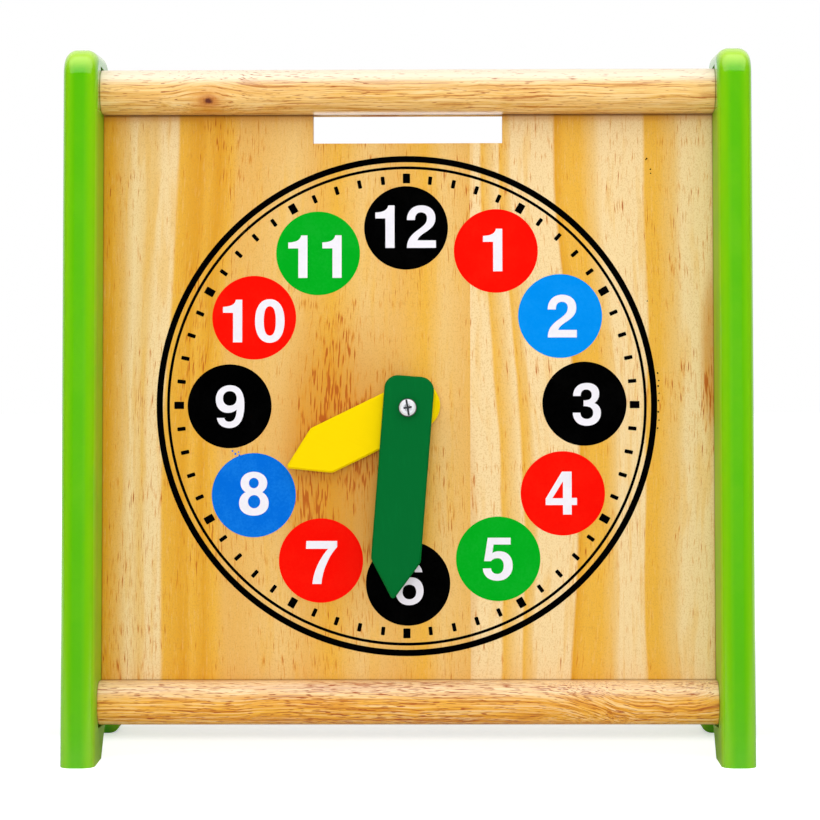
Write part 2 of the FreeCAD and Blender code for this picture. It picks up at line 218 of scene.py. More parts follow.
# Wood: the grain runs along Z of the vector that comes in, in metres
def make_wood_group():
    tree, given, wanted = shared_group(
        "Wood grain",
        [("Vector", "vector", None), ("Pore amount", "value", 0.3), ("Pore length", "value", 0.1)],
        [("Fibres", "value"), ("Figure", "value"), ("Pores", "value"), ("Speckle", "value"),
         ("Height", "value")])
    vector = given["Vector"]
    fibres = noise(tree, stretched(tree, vector, 1, 1, 0.02), 1300.0, 4.0, 0.7)
    figure = noise(tree, stretched(tree, vector, 1, 1, 0.04), 260.0)
    speckle = noise(tree, stretched(tree, vector, 1, 1, 0.6), 2400.0, 1.0)
    patches = noise(tree, stretched(tree, vector, 1, 1, 0.25), 60.0, 1.0)
    shortened = vector_node(tree, "MULTIPLY", vector, joined(tree, 1.0, 1.0, given["Pore length"]))
    dashes = noise(tree, shortened, 2500.0, 1.0, 0.4)
    limit = less(tree, 0.74, times(tree, patches, given["Pore amount"]))
    pores = math_node(tree, "MULTIPLY", less(tree, dashes, limit), 12.0, clamp=True)
    feed(tree, wanted, Fibres=fibres, Figure=figure, Pores=pores, Speckle=speckle,
         Height=less(tree, fibres, pores))
    return tree


# Handling: faint smudges and hairline scratches on anything painted, moulded or lacquered
def make_handling_group():
    tree, given, wanted = shared_group(
        "Handling",
        [("Vector", "vector", None), ("Roughness", "value", 0.3), ("Spread", "value", 0.1)],
        [("Roughness", "value"), ("Smudges", "value"), ("Scratches", "value")])
    vector = given["Vector"]
    smudges = noise(tree, vector, 38.0, 4.0, 0.6, 0.4)
    lines = noise(tree, stretched(tree, vector, 1, 1, 0.05), 900.0, 2.0, 0.6, 0.6)
    scratches = math_node(tree, "MULTIPLY", less(tree, lines, 0.66), 8.0, clamp=True)
    rough = plus(tree, given["Roughness"], times(tree, less(tree, smudges, 0.5), given["Spread"]))
    feed(tree, wanted, Roughness=plus(tree, rough, times(tree, scratches, 0.08)), Smudges=smudges,
         Scratches=scratches)
    return tree


# Turned metal: fine rings round the hands' axis or along a rod, and faint stains
def make_metal_group():
    tree, given, wanted = shared_group(
        "Turned metal",
        [("Vector", "vector", None), ("Colour", "colour", None), ("Roughness", "value", 0.25)],
        [("Colour", "colour"), ("Roughness", "value"), ("Height", "value")])
    vector = given["Vector"]
    rings = noise(tree, stretched(tree, vector, 1, 6, 1), 700.0, 3.0, 0.6)
    stains = fade(tree, noise(tree, vector, 260.0), 0.45, 0.7)
    dull = blend(tree, 1.0, given["Colour"], (0.82, 0.82, 0.82, 1), mode="MULTIPLY")
    feed(tree, wanted, Colour=blend(tree, stains, given["Colour"], dull), Height=rings,
         Roughness=plus(tree, given["Roughness"], times(tree, less(tree, rings, 0.5), 0.25)))
    return tree


wood_group = make_wood_group()
handling_group = make_handling_group()
metal_group = make_metal_group()


def material(name):
    """A fresh material: its tree, its Principled shader and the object's own coordinates."""
    made = bpy.data.materials.new(name)
    made.use_nodes = True
    tree = made.node_tree
    tree.nodes.clear()
    shader = put(tree, "ShaderNodeBsdfPrincipled")
    out = put(tree, "ShaderNodeOutputMaterial")
    tree.links.new(shader.outputs[0], out.inputs["Surface"])
    place = put(tree, "ShaderNodeTexCoord").outputs["Object"]
    return made, tree, shader, place


def handled(tree, place, roughness, spread):
    """The marks of handling on a surface: its roughness, smudges and scratches."""
    return use(tree, handling_group, {"Vector": place, "Roughness": roughness, "Spread": spread})


# Lime-green gloss paint of a side board. It is painted lighter and yellower on the rounded edges, a painted
# highlight of the side light, and paler where it faces up, a painted highlight of the lamp above. On the
# inner face beside the panel it is duller, and painted yellower as a painted reflection of the wooden panel
def make_board_paint(name, middle):
    made, tree, shader, place = material(name)
    x, _, z = split(tree, place)
    from_middle = unsigned(tree, less(tree, x, middle))
    rounded = fade(tree, from_middle, 0.0012, 0.0060)
    side = fade(tree, from_middle, 0.0068, 0.0075)
    edge = times(tree, rounded, rest_of(tree, times(tree, side, 0.7)))
    off_inner_face = fade(tree, unsigned(tree, x), inner_face + 0.0001, inner_face + 0.0012)
    above_panel = fade(tree, z, 0.281, 0.286)
    beside_panel = rest_of(tree, most(tree, off_inner_face, above_panel))
    dull = math_node(tree, "MULTIPLY_ADD", beside_panel, 0.6, 0.13)
    marks = handled(tree, place, dull, 0.06)
    # Painted highlight: lighter, yellower paint on the rounded edges stands in for the side light falling
    # on them
    body = blend(tree, edge, tint("56b600"), tint("82c604"))
    # Painted reflection: the inner face beside the panel is painted yellower, as if mirroring the wood
    body = lay(tree, body, beside_panel, 0.7, "a0c400")
    body = lay(tree, body, fade(tree, marks["Smudges"], 0.35, 0.8), 0.5, "6cc006")
    # Painted highlight: paler paint where the board faces up stands in for the lamp above
    body = lay(tree, body, facing_up(tree, 0.1, 0.75), 0.8, "c4ec58")
    feed(tree, shader.inputs, Base_Color=body, Roughness=marks["Roughness"])
    settle(shader, Specular_IOR_Level=0.4, Coat_Weight=0.2, Coat_IOR=1.6, Coat_Roughness=0.05)
    bump(tree, shader, noise(tree, place, 350.0), 0.00002)
    return made


# The knot: how far along the rail the grain bends round it, how far it is pushed, and how small a part
# lies unmoved in the middle, in metres. Its rings are (inner radius, outer radius, amount, tone)
knot_reach = 0.015
knot_push = 0.0044
knot_core = 0.0016
knot_rings = ((0.003, 0.012, 0.6, "d88e28"), (0.0012, 0.0060, 0.75, "bc6008"),
              (0.0006, 0.0028, 0.95, "581400"))


# Lacquered rubberwood of a rail: long fibres and fine brown pores. Painted shade gives it a dark line where
# it is housed in the side boards and where the panel enters it, and its underside behind the panel is
# painted near-white, a painted highlight. tones are (place, colour) of its figure, waviness is how far the
# grain sways and how much further at the right end, and glow is how much paler the upper side is painted, a
# painted highlight
def make_rail_wood(name, tones, pore_amount, waviness, glow, knot=None):
    made, tree, shader, place = material(name)
    x, y, z = split(tree, place)
    level = z
    if knot:
        from_x = less(tree, x, knot[0])
        from_z = less(tree, z, knot[1])
        off_centre = math_node(tree, "POWER", math_node(tree, "DIVIDE", from_x, knot_reach), 2.0)
        near = math_node(tree, "EXPONENT", times(tree, off_centre, -1.0))
        push = math_node(tree, "DIVIDE", from_z, plus(tree, unsigned(tree, from_z), knot_core))
        level = less(tree, level, times(tree, times(tree, near, push), knot_push))
    right_end = fade(tree, x, 0.055, 0.10)
    wave = noise(tree, stretched(tree, place, 1, 0.5, 0.5), 26.0)
    sway = plus(tree, waviness[0], times(tree, right_end, waviness[1]))
    level = plus(tree, level, times(tree, wave, sway))
    grain = use(tree, wood_group, {"Vector": joined(tree, level, y, x), "Pore amount": pore_amount,
                                   "Pore length": 0.08})
    colour = ramp(tree, grain["Figure"], tones)
    colour = lay(tree, colour, fade(tree, grain["Fibres"], 0.5, 0.6), 0.6, "f6d8a0")
    colour = lay(tree, colour, rest_of(tree, fade(tree, grain["Fibres"], 0.38, 0.47)), 0.85, "b8660c")
    # Painted highlight: the upper side is painted paler, standing in for the lamp above
    colour = lay(tree, colour, facing_up(tree, 0.0, 0.62), glow, "fdeed6")
    colour = lay(tree, colour, grain["Pores"], 0.9, "a44400")
    if knot:
        away = math_node(tree, "SQRT", plus(
            tree, math_node(tree, "POWER", from_x, 2.0),
            math_node(tree, "POWER", times(tree, from_z, 1.5), 2.0)))
        rough_edge = times(tree, less(tree, noise(tree, place, 480.0, 3.0, 0.6), 0.5), 0.004)
        ragged = plus(tree, away, rough_edge)
        for inner, outer, amount, tone in knot_rings:
            colour = lay(tree, colour, rest_of(tree, fade(tree, ragged, inner, outer)), amount, tone)
    # Painted shade: a dark line at the ends, where the rail is housed in the side boards
    housed_shade_line = fade(tree, unsigned(tree, x), inner_face - 0.0005, inner_face)
    colour = lay(tree, colour, housed_shade_line, 0.7, "6a3a08")
    # Painted shade and highlight underneath: a dark line where the panel enters the rail, and near-white
    # behind it
    underside = rest_of(tree, facing_up(tree, -0.97, -0.85))
    ahead_of_panel = vector_node(tree, "DOT_PRODUCT", vector_node(
        tree, "SUBTRACT", place, tuple(pivot)), tuple(outward))
    panel_line_shade = rest_of(tree, fade(tree, unsigned(tree, ahead_of_panel), 0.0008, 0.0018))
    painted_highlight_behind_panel = rest_of(tree, fade(tree, ahead_of_panel, -0.0016, -0.0008))
    colour = lay(tree, colour, underside, painted_highlight_behind_panel, "fff6ea")
    colour = lay(tree, colour, underside, panel_line_shade, "6a2800")
    marks = handled(tree, place, 0.3, 0.1)
    feed(tree, shader.inputs, Base_Color=colour, Roughness=marks["Roughness"])
    settle(shader, Specular_IOR_Level=0.35, Coat_Weight=0.12, Coat_IOR=1.6, Coat_Roughness=0.15)
    bump(tree, shader, grain["Height"], 0.00002)
    return made


# Tones of the panel's pine, and the height over which its stripes bend, in metres. The edge tone is darker,
# painted shade where the panel runs into the side boards
pine_tones = {"cream": "efd29c", "straw": "e8bf74", "tan": "e3b05a", "amber": "e6ae3a", "gold": "dc9c18",
              "edge": "b8800c"}
bend_height = 0.25


# Lacquered pine of one panel board. bands are its stripes as (x in millimetres, tone), drawn as they run at
# the top of the panel. bend says how they stray lower down: how far they go, between which shares of the
# height they set off, and between which x they come free and are held again. heartwood lists darker
# patches as (x, z, half width, half height, amount), and resin_amount is how many dark lines there are
def make_panel_wood(name, bands, bend, heartwood, resin_amount):
    made, tree, shader, place = material(name)
    x, y, z = split(tree, place)
    drop = math_node(tree, "DIVIDE", less(tree, panel_top, z), bend_height)
    loose = times(tree, fade(tree, x, *bend["free_from"]), rest_of(tree, fade(tree, x, *bend["held_from"])))
    stray = times(tree, times(tree, fade(tree, drop, *bend["grows"]), loose), bend["reach"])
    slow = noise(tree, stretched(tree, place, 0.8, 0.2, 0.3), 26.0)
    width_of_sway = math_node(tree, "MULTIPLY_ADD", drop, bend["sway"], 0.003)
    across = plus(tree, less(tree, x, stray), times(tree, less(tree, slow, 0.5), width_of_sway))
    left, right = bands[0][0] / 1000, bands[-1][0] / 1000
    share = math_node(tree, "DIVIDE", less(tree, across, left), right - left)
    colour = ramp(tree, share, [((band / 1000 - left) / (right - left), pine_tones[tone])
                                for band, tone in bands])
    grain_way = joined(tree, across, y, z)
    grain = use(tree, wood_group, {"Vector": grain_way, "Pore amount": 0.0, "Pore length": 0.05})
    colour = lay(tree, colour, fade(tree, grain["Figure"], 0.5, 0.7), 0.4, pine_tones["amber"])
    colour = lay(tree, colour, fade(tree, grain["Fibres"], 0.52, 0.7), 0.2, pine_tones["cream"])
    deep = 0.0
    for patch_x, patch_z, half_width, half_height, amount in heartwood:
        from_patch = vector_node(tree, "SUBTRACT", place, (patch_x, 0, patch_z))
        gone = vector_node(tree, "LENGTH", stretched(tree, from_patch, 1 / half_width, 0, 1 / half_height))
        deep = most(tree, deep, times(tree, rest_of(tree, fade(tree, gone, 0.4, 1.2)), amount))
    colour = blend(tree, deep, colour, tint("cc8610"))
    colour = lay(tree, colour, fade(tree, grain["Speckle"], 0.48, 0.7), 0.3, "c08838")
    resin = noise(tree, stretched(tree, grain_way, 1, 1, 0.009), 1700.0, 1.5, 0.4)
    where = fade(tree, noise(tree, stretched(tree, place, 1, 0.3, 0.5), 45.0, 1.0), 0.4, 0.68)
    amount_here = times(tree, where, math_node(tree, "MULTIPLY_ADD", deep, 0.22, resin_amount))
    above_limit = less(tree, resin, less(tree, 0.75, amount_here))
    lines = math_node(tree, "MULTIPLY", above_limit, 14.0, clamp=True)
    colour = lay(tree, colour, fade(tree, above_limit, -0.13, 0.02), 0.6, "d4840c")
    colour = lay(tree, colour, lines, 0.85, "b05000")
    # Painted shade: darker just below the top rail
    shade = fade(tree, z, panel_top - 0.004, panel_top - 0.0005)
    colour = lay(tree, colour, shade, 0.5, "b46a18")
    # Painted shade: dark lines where the panel meets the side boards, the top rail and the bottom rail
    side_line_shade = fade(tree, unsigned(tree, x), inner_face - 0.0006, inner_face)
    top_line_shade = fade(tree, z, panel_top - 0.0012, panel_top - 0.0002)
    foot_line_shade = rest_of(tree, fade(tree, z, panel_foot + 0.0001, panel_foot + 0.0007))
    gap_lines_shade = most(tree, side_line_shade, most(tree, top_line_shade, foot_line_shade))
    colour = lay(tree, colour, gap_lines_shade, 0.65, "6a3a04")
    marks = handled(tree, place, 0.45, 0.12)
    feed(tree, shader.inputs, Base_Color=colour, Roughness=marks["Roughness"])
    settle(shader, Specular_IOR_Level=0.3)
    bump(tree, shader, grain["Fibres"], 0.00003)
    return made


# Brushed-on paint of a hand, with faint streaks that run along it at an angle in degrees
def make_hand_paint(name, code, streak_code, amount, angle):
    made, tree, shader, place = material(name)
    turned = put(tree, "ShaderNodeMapping", {"Vector": place, "Rotation": (0, math.radians(angle), 0)})
    along = turned.outputs[0]
    streaks = noise(tree, stretched(tree, along, 1, 1, 0.04), 900.0, 3.0, 0.6)
    marks = handled(tree, along, 0.36, 0.1)
    colour = lay(tree, tint(code), fade(tree, streaks, 0.5, 0.75), amount, streak_code)
    colour = lay(tree, colour, marks["Scratches"], amount * 0.5, streak_code)
    feed(tree, shader.inputs, Base_Color=colour, Roughness=marks["Roughness"])
    settle(shader, Specular_IOR_Level=0.04)
    bump(tree, shader, streaks, 0.00002)
    return made


# Screen-printed ink, a touch uneven and nearly matt
def make_ink(name, code, thin_code, unevenness):
    made, tree, shader, place = material(name)
    mottle = noise(tree, place, 900.0, 3.0, 0.7)
    clouds = noise(tree, place, 70.0, 3.0, 0.6)
    thin = fade(tree, times(tree, plus(tree, mottle, clouds), 0.5), 0.42, 0.62)
    feed(tree, shader.inputs, Base_Color=lay(tree, tint(code), thin, unevenness, thin_code),
         Roughness=plus(tree, 0.5, times(tree, mottle, 0.2)))
    settle(shader, Specular_IOR_Level=0.01)
    bump(tree, shader, mottle, 0.00001)
    return made


# Turned or plated metal. On a screw head, painted shade darkens its cross slot and its rim, and it has dark
# specks in the middle
def make_metal(name, code, roughness, metallic=1.0, painted_head_shade_and_specks=False):
    made, tree, shader, place = material(name)
    turned = use(tree, metal_group, {"Vector": place, "Colour": tint(code), "Roughness": roughness})
    colour = turned["Colour"]
    if painted_head_shade_and_specks:
        from_seat = vector_node(tree, "SUBTRACT", place, tuple(screw_seat))
        height = vector_node(tree, "DOT_PRODUCT", from_seat, tuple(outward))
        radius = vector_node(tree, "LENGTH", vector_node(tree, "CROSS_PRODUCT", from_seat, tuple(outward)))
        # Painted shade: dark in the cross slot and round the rim of the head
        colour = lay(tree, colour, rest_of(tree, fade(tree, height, 0.0015, 0.0019)), 0.95, "10120e")
        colour = lay(tree, colour, fade(tree, radius, 0.0034, 0.0038), 0.8, "20242c")
        specks = times(tree, fade(tree, noise(tree, place, 2200.0, 1.0), 0.46, 0.58),
                       rest_of(tree, fade(tree, radius, 0.0010, 0.0022)))
        colour = lay(tree, colour, specks, 0.85, "2c3844")
    feed(tree, shader.inputs, Base_Color=colour, Roughness=turned["Roughness"])
    settle(shader, Metallic=metallic)
    bump(tree, shader, turned["Height"], 0.00001)
    return made


# Moulded plastic: a faint grain in the mould and a little dust in its tone
def make_plastic(name, code, dusty_code, roughness):
    made, tree, shader, place = material(name)
    marks = handled(tree, place, roughness, 0.14)
    dusty = fade(tree, marks["Smudges"], 0.4, 0.8)
    feed(tree, shader.inputs, Base_Color=blend(tree, dusty, tint(code), tint(dusty_code)),
         Roughness=marks["Roughness"])
    bump(tree, shader, noise(tree, place, 2600.0), 0.00002)
    return made


# Clear acrylic of the back plate
def make_clear(name):
    made, tree, shader, place = material(name)
    marks = handled(tree, place, 0.04, 0.03)
    feed(tree, shader.inputs, Base_Color=blend(tree, marks["Smudges"], tint("f4fbf8"), tint("ecf6f2")),
         Roughness=marks["Roughness"])
    settle(shader, Transmission_Weight=1.0, IOR=1.49)
    return made


board_paint_left = make_board_paint("Lime paint left", -board_middle)
board_paint_right = make_board_paint("Lime paint right", board_middle)
bottom_rail_wood = make_rail_wood(
    "Rubberwood bottom rail",
    [(0.25, "d08818"), (0.42, "e6a024"), (0.55, "eeb036"), (0.68, "e29c1e"), (0.8, "cc8214")],
    pore_amount=0.32, waviness=(0.004, 0.02), glow=0.4)
top_rail_wood = make_rail_wood(
    "Rubberwood top rail",
    [(0.25, "d6a04a"), (0.42, "eab660"), (0.55, "f2c474"), (0.68, "e6b050"), (0.8, "d2943c")],
    pore_amount=0.18, waviness=(0.005, 0.0), glow=0.85, knot=knot_place)
wide_wood = make_panel_wood(
    "Pine wide board",
    bands=[(-139.7, "edge"), (-135.0, "gold"), (-131.5, "gold"), (-126.5, "tan"), (-120.5, "cream"),
           (-112.0, "straw"), (-108.0, "cream"), (-101.6, "cream"), (-100.4, "amber"), (-91.0, "gold"),
           (-88.0, "amber"), (-83.0, "gold"), (-78.0, "amber"), (-74.0, "tan"), (-67.0, "tan"),
           (-50.0, "straw"), (-40.0, "tan"), (-30.0, "amber"), (-18.0, "straw"), (-4.0, "tan"),
           (8.0, "amber"), (16.0, "straw"), (27.5, "tan")],
    bend={"grows": (0.0, 0.6), "free_from": (-0.128, -0.112), "held_from": (-0.08, 0.03),
          "reach": -0.0075, "sway": 0.006},
    heartwood=[(-0.030, 0.128, 0.036, 0.072, 0.7), (-0.089, 0.240, 0.014, 0.055, 0.18)],
    resin_amount=0.09)
narrow_wood = make_panel_wood(
    "Pine narrow board",
    bands=[(10.0, "cream"), (22.0, "straw"), (24.0, "cream"), (32.2, "cream"), (33.0, "amber"),
           (36.5, "straw"), (40.0, "cream"), (41.0, "amber"), (44.6, "straw"), (46.0, "cream"),
           (64.0, "cream"), (65.0, "gold"), (69.5, "amber"), (76.0, "amber"), (82.0, "straw"),
           (85.5, "cream"), (104.0, "cream"), (105.2, "amber"), (110.0, "amber"), (118.0, "straw"),
           (121.0, "cream"), (134.0, "cream"), (136.5, "straw"), (139.7, "edge")],
    bend={"grows": (0.1, 0.65), "free_from": (0.01, 0.05), "held_from": (0.088, 0.106),
          "reach": 0.0105, "sway": 0.012},
    heartwood=[(0.1345, 0.178, 0.006, 0.040, 0.7), (0.0275, 0.09, 0.004, 0.06, 0.3)],
    resin_amount=0.065)
minute_paint = make_hand_paint("Dark green hand paint", "00652a", "046e30", 0.4, 184.5)
hour_paint = make_hand_paint("Yellow hand paint", "f3d200", "eeca00", 0.25, 244.0)
black_ink = make_ink("Black ink", "000000", "060606", 0.5)
red_ink = make_ink("Red ink", "f20e04", "f41c0c", 0.5)
light_blue_ink = make_ink("Light blue ink", "0088e6", "1492ec", 0.5)
deep_blue_ink = make_ink("Deep blue ink", "0468d4", "1478dc", 0.8)
green_ink = make_ink("Green ink", "02a41c", "14aa2c", 0.5)
white_ink = make_ink("White ink", "ebe8f0", "e2dfe6", 0.5)
zinc = make_metal("Zinc plate", "e2e4ea", 0.3)
screw_zinc = make_metal("White zinc plate", "f2f4fa", 0.42, metallic=0.3, painted_head_shade_and_specks=True)
steel = make_metal("Turned steel", "b4b4b8", 0.28)
brass = make_metal("Turned brass", "d8b468", 0.26)
yellow_plastic = make_plastic("Yellow gear plastic", "e8bc1c", "f0cc44", 0.38)
green_plastic = make_plastic("Green gear plastic", "18803c", "2c9450", 0.38)
pale_plastic = make_plastic("Off-white gear plastic", "dedcd0", "eae8de", 0.4)
dark_plastic = make_plastic("Dark post plastic", "26282a", "383a3c", 0.45)
clear_acrylic = make_clear("Clear acrylic")

finishes = {
    "side_board_left": board_paint_left, "side_board_right": board_paint_right,
    "bottom_rail": bottom_rail_wood, "top_rail": top_rail_wood,
    "panel_board_wide": wide_wood, "panel_board_narrow": narrow_wood,
    "minute_hand": minute_paint, "hour_hand": hour_paint, "hand_screw": screw_zinc, "plate_screws": zinc,
    "dial_bush": brass, "hour_pipe": brass, "minute_arbor": steel, "idler_axle": steel,
    "cannon_pinion": green_plastic, "hour_wheel": yellow_plastic, "minute_wheel": pale_plastic,
    "minute_pinion": pale_plastic, "plate_posts": dark_plastic, "back_plate": clear_acrylic}
for name, finish in finishes.items():
    for slot in nodes[name].material_slots:
        slot.material = finish

# The outlines of the figures on the dial: 1000 is the height of a figure, y goes up. M starts a loop, L is
# a straight to a point, C a curve by two guides and its end, and Z closes the loop. A 6 is a 9 turned round
figure_outlines = {
    "0": "M 345 -12 C 130 -12 0 180 0 500 C 0 820 130 1012 345 1012 C 560 1012 690 820 690 500 "
         "C 690 180 560 -12 345 -12 Z M 345 155 C 250 155 205 270 205 500 C 205 730 250 845 345 845 "
         "C 440 845 485 730 485 500 C 485 270 440 155 345 155 Z",
    "1": "M 236 0 L 450 0 L 450 1000 L 302 1000 C 285 900 200 838 0 833 L 0 694 L 236 694 Z",
    "2": "M 0 655 C 0 860 130 1000 337 1000 C 540 1000 667 880 667 702 C 667 545 590 470 424 361 "
         "C 310 285 262 240 247 176 L 678 176 L 678 0 L 0 0 C 0 200 100 310 267 427 "
         "C 410 530 470 590 470 702 C 470 785 415 835 330 835 C 240 835 188 770 188 655 Z",
    "3": "M 8 695 C 8 880 130 1000 328 1000 C 505 1000 615 905 615 760 C 615 650 570 570 500 530 "
         "C 595 495 653 420 653 300 C 653 120 520 0 321 0 C 125 0 0 120 0 305 L 176 305 "
         "C 176 215 230 160 321 160 C 415 160 473 215 473 300 C 473 410 400 458 250 458 L 250 592 "
         "C 380 592 442 630 442 718 C 442 800 390 847 313 847 C 235 847 183 795 183 695 Z",
    "4": "M 380 1000 L 605 1000 L 605 388 L 729 388 L 729 221 L 605 221 L 605 0 L 403 0 L 403 221 "
         "L 0 221 L 0 372 Z M 403 775 L 155 380 L 403 380 Z",
    "5": "M 116 1000 L 649 1000 L 649 842 L 251 842 L 222 640 C 260 670 315 687 378 687 "
         "C 570 687 695 560 695 351 C 695 140 545 0 340 0 C 140 0 10 110 0 286 L 190 290 "
         "C 200 205 255 158 340 158 C 430 158 486 230 486 351 C 486 460 430 525 347 525 "
         "C 275 525 220 500 193 456 L 31 456 Z",
    "7": "M 12 1000 L 729 1000 L 729 857 C 560 690 385 330 364 0 L 155 0 C 175 290 320 590 519 818 "
         "L 4 818 Z",
    "8": "M 343 -12 C 545 -12 690 95 690 275 C 690 405 620 490 540 535 C 605 580 655 650 655 745 "
         "C 655 905 520 1012 343 1012 C 165 1012 35 905 35 745 C 35 650 80 580 150 535 "
         "C 65 490 0 405 0 275 C 0 95 140 -12 343 -12 Z "
         "M 343 627 C 280 627 228 681 228 748 C 228 815 280 869 343 869 C 406 869 458 815 458 748 "
         "C 458 681 406 627 343 627 Z "
         "M 350 161 C 270 161 206 230 206 314 C 206 398 270 467 350 467 C 430 467 494 398 494 314 "
         "C 494 230 430 161 350 161 Z",
    "9": "M 27 235 C 45 90 150 0 323 0 C 555 0 669 200 669 535 C 669 850 555 1000 335 1000 "
         "C 135 1000 0 860 0 669 C 0 480 110 354 285 354 C 370 354 440 385 488 430 "
         "C 480 230 420 146 315 146 C 255 146 215 175 200 235 Z "
         "M 169 690 C 169 590 230 523 328 523 C 425 523 488 590 488 690 C 488 795 425 862 328 862 "
         "C 230 862 169 795 169 690 Z"}
outline_counts = {"M": 2, "L": 2, "C": 6, "Z": 0}
curve_steps = 12
figure_9_width = 669


def outline_loops(text):
    """The closed loops of points that an outline's letters and numbers describe."""
    loops = []
    words = text.split()
    place = 0
    while place < len(words):
        letter = words[place]
        count = outline_counts[letter]
        numbers = [float(word) for word in words[place + 1:place + 1 + count]]
        place += 1 + count
        if letter == "M":
            loops.append([Vector(numbers)])
        elif letter == "L":
            loops[-1].append(Vector(numbers))
        elif letter == "C":
            start = loops[-1][-1]
            first, second, end = Vector(numbers[:2]), Vector(numbers[2:4]), Vector(numbers[4:])
            for step in range(1, curve_steps + 1):
                t = step / curve_steps
                u = 1 - t
                loops[-1].append(start * u ** 3 + first * 3 * u * u * t + second * 3 * u * t * t
                                 + end * t ** 3)
    for loop in loops:
        if (loop[0] - loop[-1]).length < 1e-6:
            loop.pop()
    return loops


def circle(radius, count, x=0.0, y=0.0):
    """A round loop of points."""
    turns = [2 * math.pi * step / count for step in range(count)]
    return [Vector((x + radius * math.cos(turn), y + radius * math.sin(turn))) for turn in turns]


def dial_mark(turn, radius, half_width, half_length, rounding):
    """A mark across the ring at a clockwise turn in degrees, with its corners rounded a little."""
    angle = math.radians(turn)
    out = Vector((math.sin(angle), math.cos(angle)))
    side = Vector((out.y, -out.x))
    w, h, r = half_width, half_length, rounding
    cut = r * 0.3
    spots = [(w - r, h), (w - cut, h - cut), (w, h - r), (w, r - h), (w - cut, cut - h), (w - r, -h),
             (r - w, -h), (cut - w, cut - h), (-w, r - h), (-w, h - r), (cut - w, h - cut), (r - w, h)]
    return [out * (radius + b) + side * a for a, b in spots]


# Everything printed is in millimetres. The print sits a little off the hands' axis, as on the real panel,
# and an ink layer is the heights of its foot and its face over the panel
print_offset = (-0.55, 1.7)
ink_layer = (-0.02, 0.05)
number_layer = (0.03, 0.09)

dial_place = Matrix((Vector((1, 0, 0)), up_dial, outward)).transposed().to_4x4()
dial_place.translation = pivot


def printed(name, loops, ink, layer=ink_layer):
    """One print on the panel: loops on the dial, given a real thickness of ink."""
    low, high = layer
    curve = bpy.data.curves.new(name, "CURVE")
    curve.dimensions = "2D"
    curve.fill_mode = "BOTH"
    curve.extrude = (high - low) / 2
    for loop in loops:
        spline = curve.splines.new("POLY")
        spline.points.add(len(loop) - 1)
        for point, spot in zip(spline.points, loop):
            point.co = (spot.x + print_offset[0], spot.y + print_offset[1], 0, 1)
        spline.use_cyclic_u = True
    holder = bpy.data.objects.new(name + "_outline", curve)
    mesh = bpy.data.meshes.new_from_object(holder)
    bpy.data.objects.remove(holder)
    mesh.name = name
    mesh.transform(dial_place @ Matrix.Scale(0.001, 4) @ Matrix.Translation((0, 0, (high + low) / 2)))
    piece = bpy.data.objects.new(name, mesh)
    bpy.context.scene.collection.objects.link(piece)
    mesh.materials.clear()
    mesh.materials.append(ink)
    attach(piece, "frame")


# The rings' radii, and each kind of tick as (radius, half width, half length, rounding of its corners)
outer_ring = (110.46, 107.72)
thin_ring = (105.85, 104.6)
hour_tick = (100.5, 1.6, 2.15, 0.25)
minute_tick = (100.0, 0.85, 1.85, 0.35)
ring_points = 240
disc_points = 96
fleck_points = 8
printed("print_outer_ring", [circle(radius, ring_points) for radius in outer_ring], black_ink)
printed("print_thin_ring", [circle(radius, ring_points) for radius in thin_ring], black_ink)
printed("print_hour_ticks", [dial_mark(30 * hour, *hour_tick) for hour in range(12)], black_ink)
printed("print_minute_ticks", [dial_mark(6 * minute, *minute_tick) for minute in range(60) if minute % 5],
        black_ink)

# The discs and numbers, from 12 round to 11. Offsets are to the right and up: each disc's from its even
# place, and each number's from the middle of its disc
disc_radius = 18.55
disc_circle = 78.3
figure_height = 18.9
pair_spacing = {"10": 751, "11": 800, "12": 740}
disc_inks = [black_ink, red_ink, light_blue_ink, black_ink, red_ink, green_ink, black_ink, red_ink,
             deep_blue_ink, black_ink, red_ink, green_ink]
disc_offsets = [(-0.2, 0.2), (0.35, 0.35), (0.0, 0.1), (0.1, 0.45), (0.9, 0.1), (1.05, 0.0), (0.55, -0.3),
                (1.35, -0.7), (0.35, -0.55), (0.1, -0.45), (0.4, -0.4), (0.0, -0.55)]
number_offsets = [(-0.2, 0.55), (-1.4, 0.4), (0.95, -0.05), (1.05, -0.3), (-0.65, 0.1), (-0.2, -0.2),
                  (0.45, -0.1), (0.25, -0.85), (0.05, 0.65), (0.2, -0.15), (-0.2, -1.45), (-1.4, -1.45)]


def upside_down(loops):
    """The loops of a 9 turned into a 6."""
    return [[Vector((figure_9_width - spot.x, 1000 - spot.y)) for spot in loop] for loop in loops]


for hour in range(12):
    angle = math.radians(30 * hour)
    middle = Vector((math.sin(angle), math.cos(angle))) * disc_circle + Vector(disc_offsets[hour])
    text = str(hour or 12)
    printed("print_disc_" + text, [circle(disc_radius, disc_points, middle.x, middle.y)], disc_inks[hour])
    loops = []
    for index, figure in enumerate(text):
        drawn = outline_loops(figure_outlines["9" if figure == "6" else figure])
        if figure == "6":
            drawn = upside_down(drawn)
        step = Vector((index * pair_spacing.get(text, 0), 0))
        loops += [[spot + step for spot in loop] for loop in drawn]
    left = min(spot.x for loop in loops for spot in loop)
    right = max(spot.x for loop in loops for spot in loop)
    shift = Vector(((left + right) / 2, 500))
    scale = figure_height / 1000
    centre = middle + Vector(number_offsets[hour])
    printed("print_number_" + text, [[(spot - shift) * scale + centre for spot in loop] for loop in loops],
            white_ink, number_layer)

